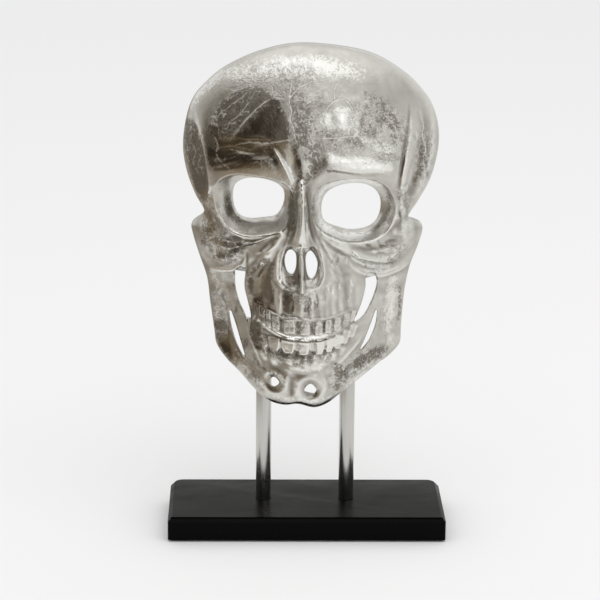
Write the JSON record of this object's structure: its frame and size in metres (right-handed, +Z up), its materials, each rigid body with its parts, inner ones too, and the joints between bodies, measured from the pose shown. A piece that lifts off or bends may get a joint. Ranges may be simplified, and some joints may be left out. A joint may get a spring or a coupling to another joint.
{
  "type": "skull sculpture on stand",
  "caption": "Cast metal skull mask, open at the back, held by two round rods on a bevelled black wooden block.",
  "frame": {"origin": "middle of the footprint, on the surface that the felt pads stand on", "axes": "+Z up, -Y the way the face looks, +X to the right of someone who looks at the face"},
  "size_m": [0.23, 0.1009, 0.4061],
  "materials": {
    "cast_skull": "polished cast, antiqued in the hollows",
    "rod_steel": "satin",
    "lacquered_wood": "black satin lacquer",
    "screw_steel": "zinc plated",
    "black_steel": "black oxide",
    "felt": "black felt"
  },
  "bodies": {
    "root": {"skull_casting": "cast_skull", "base_block": "lacquered_wood", "rod_left": "rod_steel", "rod_right": "rod_steel", "base_screw_left": "screw_steel", "base_screw_right": "screw_steel", "base_washer_left": "screw_steel", "base_washer_right": "screw_steel", "grub_screw_left": "black_steel", "grub_screw_right": "black_steel", "felt_pad_front_left": "felt", "felt_pad_front_right": "felt", "felt_pad_back_left": "felt", "felt_pad_back_right": "felt"}
  },
  "joints": []
}
